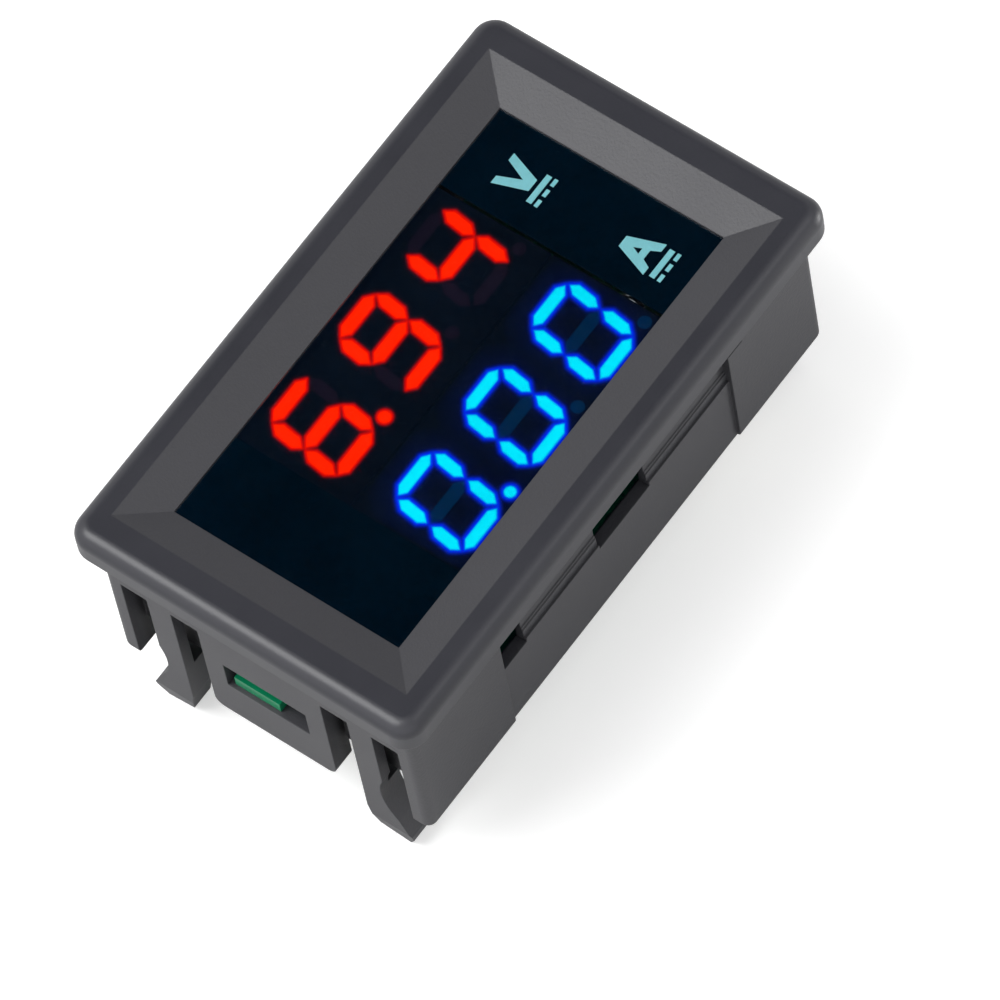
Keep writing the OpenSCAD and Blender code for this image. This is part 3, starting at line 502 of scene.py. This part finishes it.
# %% [markdown]
# ## Printed signs
#
# Beside each row of digits stands its unit, V or A, over a solid bar and three dashes, the sign
# for direct current. They are screen-printed on the film behind the window. Each letter is an
# outline in millimetres, drawn on the baseline and centred on x = 0. The A is made of two halves
# that meet in its middle line, so that the small hole needs no cutting.

# %% Signs on the film
INK = 0.012
# The teal ink also shines weakly: painted light that brightens the signs behind the smoked window.
ink_teal = lit_material("ink_teal", (0.42, 0.86, 0.88), (0.32, 0.95, 1.0), 0.3, 0.12)
LETTER_V = [[[-0.5, 0], [0.5, 0], [1.36, 2.55], [0.71, 2.55], [0, 0.83], [-0.71, 2.55], [-1.36, 2.55]]]
HALF_A = [[0, 0.67], [0.39, 0.67], [0.72, 0], [1.38, 0], [0.46, 2.68], [0, 2.68]]
HALF_A += [[0, 1.8], [0.24, 1.22], [0, 1.22]]
LETTER_A = [HALF_A, [[-x, y] for x, y in HALF_A[::-1]]]
BAR = [[-1.23, -0.22], [1.23, -0.22], [1.23, 0.22], [-1.23, 0.22]]
DASH = [[-0.31, -0.15], [0.31, -0.15], [0.31, 0.15], [-0.31, 0.15]]


def unit_sign(middle_x, base_y, letter, bar_drop):
    """A letter on its baseline, with a bar and three dashes under it, as prisms of ink."""
    bar_y = base_y - bar_drop
    placed = [(outline, 0.0, base_y) for outline in letter] + [(BAR, 0.0, bar_y)]
    placed += [(DASH, step * 0.94, bar_y - 0.58) for step in (-1, 0, 1)]
    outlines = [(np.array(o) + [middle_x + dx, y]) * MM for o, dx, y in placed]
    return [prism(o, film_high[2], film_high[2] + INK * MM) for o in outlines]


signs = unit_sign(15.08, 4.25, LETTER_V, 0.52) + unit_sign(14.9, -6.03, LETTER_A, 0.59)
make_piece("unit_signs", signs, ink_teal)

# %% [markdown]
# ## Glow round the digits
#
# A lit segment spills light into the clear skin of the display, so it has a soft edge and a
# halo. That is a sheet over the display's face whose opacity is worked out point by point from
# the distance to the nearest lit segment: strongest at its outline, all but gone a third of a
# millimetre away, with a faint tail that reaches further. We need the segments' outlines for
# that, so we draw them again from the same few sizes.

# %% Sizes of a digit
DIGIT_W, DIGIT_H, SEGMENT_W, SEGMENT_TAPER, SEGMENT_GAP = 5.1, 7.1, 0.98, 0.62, 0.15
DIGIT_PITCH, SLANT, POINT_X, POINT_R = 7.65, math.tan(math.radians(8)), 3.3, 0.5
SEGMENTS = ["abcdef", "bc", "abdeg", "abcdg", "bcfg", "acdfg", "acdefg", "abc", "abcdefg", "abcdfg"]
COLUMN, ROW = (DIGIT_W - SEGMENT_W) / 2, (DIGIT_H - SEGMENT_W) / 2


def lit_outline(letter):
    """The six corners of one segment, slanted, round the digit's middle, in millimetres."""
    across = letter in "adg"
    reach = (COLUMN if across else ROW / 2) - SEGMENT_GAP
    r, t = SEGMENT_W / 2, SEGMENT_TAPER
    upper = [[-reach, 0], [-reach + t, r], [reach - t, r]]
    bar = np.array(upper + [[reach, 0], [reach - t, -r], [-reach + t, -r]])
    if across:
        bar = bar + [0, {"a": ROW, "g": 0, "d": -ROW}[letter]]
    else:
        bar = bar[:, ::-1] * [1, -1]
        bar = bar + [COLUMN if letter in "bc" else -COLUMN, ROW / 2 if letter in "bf" else -ROW / 2]
    return bar + np.column_stack([bar[:, 1] * SLANT, np.zeros(6)])


# %% Distance to the lit segments
def distance_to_outline(x, y, outline):
    """Signed distance to a convex outline: the largest distance beyond any edge inside it, the
    shortest distance to any edge outside it."""
    ends = np.roll(outline, -1, axis=0)
    nearest, deepest = np.full(x.shape, 1e9), np.full(x.shape, -1e9)
    turn = np.sign(np.sum(outline[:, 0] * ends[:, 1] - ends[:, 0] * outline[:, 1]))
    for (ax, ay), (bx, by) in zip(outline, ends):
        ex, ey = bx - ax, by - ay
        along = np.clip(((x - ax) * ex + (y - ay) * ey) / (ex * ex + ey * ey), 0, 1)
        nearest = np.minimum(nearest, np.hypot(x - ax - along * ex, y - ay - along * ey))
        deepest = np.maximum(deepest, turn * ((x - ax) * -ey + (y - ay) * ex) / -math.hypot(ex, ey))
    return np.where(deepest > 0, nearest, deepest)


def reading_distance(x, y, reading):
    """Distance in millimetres to everything that is lit in a reading of three digits."""
    best = np.full(x.shape, 1e9)
    for place, digit in enumerate(reading):
        shift = (place - 1) * DIGIT_PITCH
        for letter in SEGMENTS[int(digit)]:
            best = np.minimum(best, distance_to_outline(x - shift, y, lit_outline(letter)))
    point_y = -ROW
    point_x = POINT_X - DIGIT_PITCH + point_y * SLANT
    return np.minimum(best, np.hypot(x - point_x, y - point_y) - POINT_R)


print("one outline:", np.round(lit_outline("a"), 2).tolist())

# %% Glow sheets
SHEET_STEP, SHEET_LIFT, TAIL_REACH = 0.1, 0.02, 0.9


def glow_material(name, colour, strength):
    """Mostly clear sheet whose opacity is the glow attribute of its own mesh."""
    material = lit_material(name, (0.0, 0.0, 0.0), colour, strength, 0.15)
    tree = material.node_tree
    amount = add_node(tree, "ShaderNodeAttribute", attribute_name="glow")
    tree.links.new(amount.outputs["Fac"], tree.nodes["Principled BSDF"].inputs["Alpha"])
    return material


def glow_sheet(name, node, reading, material, peak, inner, outer, tail):
    """A grid over a display's face: opacity is peak times exp(-(distance / reach) squared), and
    outside the segments a tail times exp(-distance / TAIL_REACH) on top."""
    a, b = flat_box(node)
    middle = (a + b) / 2 / MM
    columns = int((b[0] - a[0]) / MM / SHEET_STEP)
    rows = int((b[1] - a[1]) / MM / SHEET_STEP)
    x, y = np.meshgrid(np.linspace(a[0], b[0], columns) / MM, np.linspace(a[1], b[1], rows) / MM)
    distance = reading_distance(x - middle[0], y - middle[1], reading)
    reach = np.where(distance < 0, inner, outer)
    glow = peak * np.exp(-((distance / reach) ** 2))
    glow += tail * np.exp(-distance.clip(0) / TAIL_REACH) * (distance > 0)
    edge = np.minimum(np.minimum(x - x.min(), x.max() - x), np.minimum(y - y.min(), y.max() - y))
    glow *= np.clip(edge / 0.3, 0, 1)
    z = np.full(x.shape, b[2] + SHEET_LIFT * MM)
    points = np.stack([x * MM, y * MM, z], axis=-1).reshape(-1, 3)
    corner = (np.arange(rows - 1)[:, None] * columns + np.arange(columns - 1)).ravel()
    quads = np.stack([corner, corner + 1, corner + columns + 1, corner + columns], axis=1)
    keep = glow.ravel()[quads].max(axis=1) > 0.004
    mesh = bpy.data.meshes.new(name)
    used, index = np.unique(quads[keep], return_inverse=True)
    mesh.from_pydata(points[used].tolist(), [], index.reshape(-1, 4).tolist())
    attribute = mesh.attributes.new("glow", "FLOAT", "POINT")
    attribute.data.foreach_set("value", glow.ravel()[used].astype(np.float32))
    sheet = bpy.data.objects.new(name, mesh)
    bpy.context.scene.collection.objects.link(sheet)
    mesh.materials.append(material)
    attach(sheet, "meter")
    print(name, keep.sum(), "faces")
    return sheet


glow_red = glow_material("glow_red", (1.0, 0.002, 0.0), 1.7)
glow_blue = glow_material("glow_blue", (0.0, 0.03, 1.0), 1.5)
RED_FALL, BLUE_FALL = (0.9, 0.06, 0.13, 0.006), (0.95, 0.1, 0.2, 0.03)
voltage_glow = glow_sheet("voltage_glow", "voltage_display_body", "694", glow_red, *RED_FALL)
current_glow = glow_sheet("current_glow", "current_display_body", "000", glow_blue, *BLUE_FALL)

# %% [markdown]
# ## Solder on the board
#
# Every pin that goes through the board is held by solder: a little cone with hollow sides, wide
# on the copper pad and narrow where it climbs the pin. Its profile is a quarter of a hollow
# curve, turned round the pin. To know where the pins stand, we take their solids apart: every
# corner starts with a number of its own, and edges pass the lower number on until nothing
# changes. Corners with the same number then belong to the same piece.

# %% Separate pieces of a node
BOARD_BACK, BOARD_FRONT = board_low[2], board_high[2]


def islands(node):
    """The lowest and highest corner of each separate piece in a node, as rows [low, high]."""
    mesh = nodes[node].data
    points = np.zeros(len(mesh.vertices) * 3)
    mesh.vertices.foreach_get("co", points)
    points = points.reshape(-1, 3)
    edges = np.zeros(len(mesh.edges) * 2, int)
    mesh.edges.foreach_get("vertices", edges)
    _, corner = np.unique(np.round(points / 1e-6), axis=0, return_inverse=True)
    corner = corner.ravel()
    a, b = corner[edges].reshape(-1, 2).T
    tag, before = np.arange(corner.max() + 1), None
    while before is None or (tag != before).any():
        before = tag.copy()
        lower = np.minimum(tag[a], tag[b])
        np.minimum.at(tag, a, lower)
        np.minimum.at(tag, b, lower)
    tags = tag[corner]
    return np.array([[points[tags == t].min(0), points[tags == t].max(0)] for t in np.unique(tags)])


def middles(boxes):
    """The middle [x, y] of each box."""
    return boxes.mean(axis=1)[:, :2]


print("pins of the upper display:", len(islands("voltage_display_pins")))


# %% Solder joints
def joint_profile(pin_r, pad_r, z_face, direction, height):
    """A hollow cone: radius falls from pad to pin as height rises, along a quarter circle."""
    t = np.linspace(0, np.pi / 2, 7)
    radius = pad_r - (pad_r - pin_r * 0.9) * np.sin(t)
    rise = 0.03 * MM + height * (1 - np.cos(t))
    rows = np.vstack([[[pad_r, z_face]], np.column_stack([radius, z_face + direction * rise])])
    return rows if direction > 0 else rows[::-1]


display_pins = np.vstack([middles(islands(f"{row}_display_pins")) for row in ("voltage", "current")])
joints = [turned(joint_profile(0.25 * MM, 0.68 * MM, BOARD_BACK, -1, 0.6 * MM), p, 20) for p in display_pins]
for node, pin_r, pad_r in (("supply_header_pins", 0.3, 0.75), ("load_header_pins", 0.65, 1.35)):
    profile = joint_profile(pin_r * MM, pad_r * MM, BOARD_FRONT, 1, 0.6 * MM)
    joints += [turned(profile, p, 20) for p in middles(islands(node))]
shunt_low, shunt_high = flat_box("current_shunt")
shunt_r, shunt_y = (shunt_high[1] - shunt_low[1]) / 2, (shunt_high[1] + shunt_low[1]) / 2
shunt_ends = np.array([[shunt_low[0] + shunt_r, shunt_y], [shunt_high[0] - shunt_r, shunt_y]])
joints += [turned(joint_profile(shunt_r, 1.3 * MM, BOARD_BACK, -1, 0.7 * MM), p, 28) for p in shunt_ends]
make_piece("solder_joints", joints, solder, smooth=True)

# %% [markdown]
# Flat leads and terminals lie in a low bed of solder on their pads. The bed is a block that is a
# little larger than the lead's foot, with sloping sides. Chip parts get a metal cap at each end,
# and the diode and the large capacitor get their two end tabs.


# %% Solder beds, end caps and tabs
def hanging(low_xy, high_xy, height, draft=0.0):
    """A block under the board's back face, wide at the face and narrower below it."""
    points, faces = block((*low_xy, 0.0), (*high_xy, height), draft)
    points[:, 2] = BOARD_BACK - points[:, 2]
    return points, [f[::-1] for f in faces]


def foot_of(box, chip_middle, length):
    """The outer end of a lead, as seen from its chip: its lowest and highest [x, y]."""
    (x0, y0), (x1, y1) = box[:, :2]
    return ((x0, y1 - length), (x1, y1)) if y0 > chip_middle else ((x0, y0), (x1, y0 + length))


beds, lead_feet = [], {}
for chip in ("controller", "amplifier", "regulator"):
    chip_y = middles(islands(f"{chip}_chip"))[0][1]
    feet = [foot_of(box, chip_y, 0.5 * MM) for box in islands(f"{chip}_leads")]
    lead_feet[chip] = np.array(feet).mean(axis=1)
    beds += [hanging(np.array(a) - 0.09 * MM, np.array(b) + 0.09 * MM, 0.13 * MM, 0.08 * MM) for a, b in feet]
for trimmer in ("voltage", "current"):
    for box in islands(f"{trimmer}_trimmer_terminals"):
        beds.append(hanging(box[0, :2] - 0.2 * MM, box[1, :2] + 0.2 * MM, 0.2 * MM, 0.15 * MM))
make_piece("solder_beds", beds, solder)

caps = []
CAP, SKIN = 0.3 * MM, 0.02 * MM
for node, axis in (("chip_resistors", 0), ("chip_capacitors", 1)):
    for a, b in islands(node):
        height = BOARD_BACK - a[2] + SKIN
        for end in (a[axis] - SKIN, b[axis] + SKIN - CAP):
            start, stop = a[:2] - SKIN, b[:2] + SKIN
            start[axis], stop[axis] = end, end + CAP
            caps.append(hanging(start, stop, height))
for node, half, height in (("reverse_diode", 0.75, 0.9), ("filter_capacitor", 1.1, 0.8)):
    a, b = islands(node)[0]
    x = (a[0] + b[0]) / 2
    for y0, y1 in ((a[1] - 0.35 * MM, a[1] + 0.02 * MM), (b[1] - 0.02 * MM, b[1] + 0.35 * MM)):
        caps.append(hanging((x - half * MM, y0), (x + half * MM, y1), height * MM))
make_piece("part_ends", caps, tinned)

# %% [markdown]
# ## Tracks and print on the board
#
# Under the green lacquer run copper tracks, which show as slightly raised, paler lines. Each one
# leaves a pin at 45 degrees until it is level with its goal, and then runs straight. Goals are
# found, not typed in: every lead goes to the display pin nearest to it.

# %% Tracks
TRACK = 0.035 * MM
masked_copper = skin_material("masked_copper", (0.012, 0.3, 0.12), 0.28, grain=2600, depth=0.1, drift=0.1)


def track(start, goal, width):
    """A ribbon from start to goal: a diagonal first, then straight along x or y."""
    start, goal = np.asarray(start, float), np.asarray(goal, float)
    step = goal - start
    corner = start + np.sign(step) * np.abs(step).min()
    path = [p for p in (start, corner, goal)]
    keep = [0] + [i for i in (1, 2) if np.hypot(*(path[i] - path[i - 1])) > 0.02 * MM]
    path = np.array(path)[keep]
    return ribbon(path, width * MM, BOARD_BACK - TRACK, BOARD_BACK)


def nearest(places, goals):
    """For each place, the goal that lies nearest to it."""
    gap = np.linalg.norm(places[:, None] - goals[None], axis=2)
    return goals[gap.argmin(axis=1)]


resistors, capacitors = middles(islands("chip_resistors")), middles(islands("chip_capacitors"))
row_resistors = resistors[np.abs(resistors[:, 0]) < 0.012]
ends = np.vstack([row_resistors - [0.65 * MM, 0], row_resistors + [0.65 * MM, 0]])
sources = np.vstack([lead_feet["controller"], lead_feet["amplifier"], ends])
tracks = [track(a, b, 0.28) for a, b in zip(sources, nearest(sources, display_pins))]
supply_pins, load_pins = middles(islands("supply_header_pins")), middles(islands("load_header_pins"))
diode, tantalum_place = middles(islands("reverse_diode"))[0], middles(islands("filter_capacitor"))[0]
tracks += [track(shunt_ends[0], load_pins[1], 2.2), track(shunt_ends[1], load_pins[1] + [2.4 * MM, 0], 2.2)]
tracks += [track(supply_pins[2], diode - [0, 2.2 * MM], 0.7)]
tracks += [track(load_pins[0], tantalum_place - [0, 2 * MM], 0.9)]
tracks += [track(tantalum_place + [0, 2 * MM], p, 0.5) for p in lead_feet["regulator"][-1:]]
column = resistors[np.abs(resistors[:, 0]) >= 0.012]
tracks += [track(a + [0.7 * MM, 0], b, 0.35) for a, b in zip(column, nearest(column, supply_pins))]
tracks += [track(a, b, 0.35) for a, b in zip(capacitors + [0, 0.9 * MM], nearest(capacitors, display_pins))]
make_piece("board_tracks", tracks, masked_copper)

# %% [markdown]
# The white print shows where each part belongs: a frame round it, a dot beside a chip's first
# lead, a stripe at the minus end of the diode, and V and A beside the two trimmers. Seen from
# behind, left and right change places, so the letters are mirrored here.

# %% White print on the board
PRINT = 0.02 * MM


def frame_round(node, gap):
    """A printed frame round a solid, a gap in millimetres away from it."""
    a, b = flat_box(node)
    (x0, y0), (x1, y1) = a[:2] - gap * MM, b[:2] + gap * MM
    corners = [[x0, y0], [x1, y0], [x1, y1], [x0, y1]]
    return ribbon(corners, 0.15 * MM, BOARD_BACK - PRINT, BOARD_BACK, closed=True)


def board_letter(letter, place, size):
    """A letter on the back of the board, mirrored so that it reads right from behind."""
    outlines = [np.array(o)[::-1] * [-size, size] * MM + place for o in letter]
    return [prism(o, BOARD_BACK - PRINT, BOARD_BACK) for o in outlines]


framed = ["supply_header", "load_header", "reverse_diode", "filter_capacitor"]
framed += ["voltage_trimmer_base", "current_trimmer_base", "amplifier_chip", "controller_chip"]
frame_gaps = [0.65 if "trimmer" in node else 0.45 if "chip" not in node else -0.1 for node in framed]
marks = [frame_round(node, gap) for node, gap in zip(framed, frame_gaps)]
trimmer_places = [middles(islands(f"{row}_trimmer_base"))[0] for row in ("voltage", "current")]
marks += board_letter(LETTER_V, trimmer_places[0] + [4.3 * MM, 2.0 * MM], 0.5)
marks += board_letter(LETTER_A, trimmer_places[1] + [4.3 * MM, -1.0 * MM], 0.5)
for chip in ("controller", "amplifier"):
    first = lead_feet[chip][np.argmin(lead_feet[chip].sum(axis=1))]
    dot = [[0.22 * MM, BOARD_BACK - PRINT], [0.22 * MM, BOARD_BACK]]
    marks.append(turned(dot, first - [0.62 * MM, 0], 20))
for node in ("reverse_diode", "filter_capacitor"):
    a, b = islands(node)[0]
    stripe = block((a[0], b[1] - 0.9 * MM, a[2] - 0.012 * MM), (b[0], b[1] - 0.3 * MM, a[2]))
    marks.append(stripe)
make_piece("board_print", marks, ink_white)

# %% [markdown]
# ## Studio
#
# A pale floor, a big soft lamp at the upper left, a smaller one at the lower right and a tiny one
# close to the far end of the long wall light the plastic. The white room is brighter on the left
# than on the right, and the camera sees it as pure white. A black card, out of the camera's
# sight, hangs where the flat rim and the window would otherwise mirror the white room.

# %% Floor, lamps, card and world
FLOOR_HALF = 3.0
floor_points = np.array([[-1, -1, 0], [1, -1, 0], [1, 1, 0], [-1, 1, 0]]) * FLOOR_HALF
floor_mesh = bpy.data.meshes.new("floor")
floor_mesh.from_pydata((floor_points + [0, 0, low[2]]).tolist(), [], [[0, 1, 2, 3]])
floor = bpy.data.objects.new("floor", floor_mesh)
bpy.context.scene.collection.objects.link(floor)
paper = skin_material("paper_white", (0.78, 0.78, 0.78), 0.9, grain=900, depth=0.0, drift=0.0)
seen = add_node(paper.node_tree, "ShaderNodeLightPath").outputs["Is Camera Ray"]
paper_shader = paper.node_tree.nodes["Principled BSDF"]
paper_shader.inputs["Emission Color"].default_value = (1, 1, 1, 1)
paper.node_tree.links.new(sum_of(paper.node_tree, "MULTIPLY", seen, 0.45), paper_shader.inputs["Emission Strength"])
floor_mesh.materials.append(paper)
middle = np.array([(low[i] + high[i]) / 2 for i in range(3)])


def facing(direction, distance):
    """A matrix that puts something at distance along a direction, turned to face the meter."""
    back = np.array(direction, float) / np.linalg.norm(direction)
    right = np.cross([0, 0, 1.0], back)
    right /= np.linalg.norm(right)
    matrix = np.eye(4)
    matrix[:3, :3] = np.stack([right, np.cross(back, right), back], axis=1)
    matrix[:3, 3] = middle + back * distance
    return Matrix(matrix.tolist())


def soft_lamp(name, direction, distance, size, power):
    """A square lamp, size metres across, that faces the meter from a direction."""
    data = bpy.data.lights.new(name, "AREA")
    data.shape, data.size, data.energy = "SQUARE", size, power
    lamp = bpy.data.objects.new(name, data)
    lamp.matrix_world = facing(direction, distance)
    lamp.visible_camera = False
    bpy.context.scene.collection.objects.link(lamp)
    print(name, "radiance", round(power / (math.pi * size * size), 2))


soft_lamp("key_lamp", (-0.38, 0.36, 0.86), 1.0, 0.6, 6.8)
soft_lamp("fill_lamp", (0.34, -0.52, 0.78), 1.0, 0.3, 0.4)
soft_lamp("side_lamp", (0.78, -0.62, 0.02), 0.09, 0.03, 0.018)

card_mesh = bpy.data.meshes.new("black_card")
card_mesh.from_pydata([(-0.2, -0.2, 0), (0.2, -0.2, 0), (0.2, 0.2, 0), (-0.2, 0.2, 0)], [], [[0, 1, 2, 3]])
card = bpy.data.objects.new("black_card", card_mesh)
bpy.context.scene.collection.objects.link(card)
card_mesh.materials.append(skin_material("card_black", (0.01, 0.01, 0.01), 0.9, grain=900, depth=0.0, drift=0.0))
card.matrix_world = facing((0.34, 0.37, 0.86), 0.5)
card.visible_camera = card.visible_diffuse = card.visible_shadow = False

world = bpy.data.worlds.new("white_room")
bpy.context.scene.world = world
world.use_nodes = True
tree = world.node_tree
rays = add_node(tree, "ShaderNodeLightPath").outputs
mirrored = sum_of(tree, "MAXIMUM", rays["Is Glossy Ray"], rays["Is Transmission Ray"])
level = add_node(tree, "ShaderNodeMapRange", {"Value": mirrored, "To Min": 0.58, "To Max": 1.0}).outputs[0]
way = add_node(tree, "ShaderNodeTexCoord").outputs["Generated"]
way_x = add_node(tree, "ShaderNodeSeparateXYZ", {0: way}).outputs[0]
slope = add_node(tree, "ShaderNodeMapRange", {"Value": way_x, "From Min": -1.0, "To Min": 1.6, "To Max": 0.6}).outputs[0]
room = sum_of(tree, "MULTIPLY", level, slope)
strength = add_node(tree, "ShaderNodeMix", {0: rays["Is Camera Ray"], 2: room, 3: 1.0})
tree.nodes["Background"].inputs["Color"].default_value = (1, 1, 1, 1)
tree.links.new(strength.outputs[0], tree.nodes["Background"].inputs["Strength"])
bpy.context.scene.view_settings.view_transform = "Standard"
print("studio ready")

# %% Finish
bpy.context.view_layer.update()
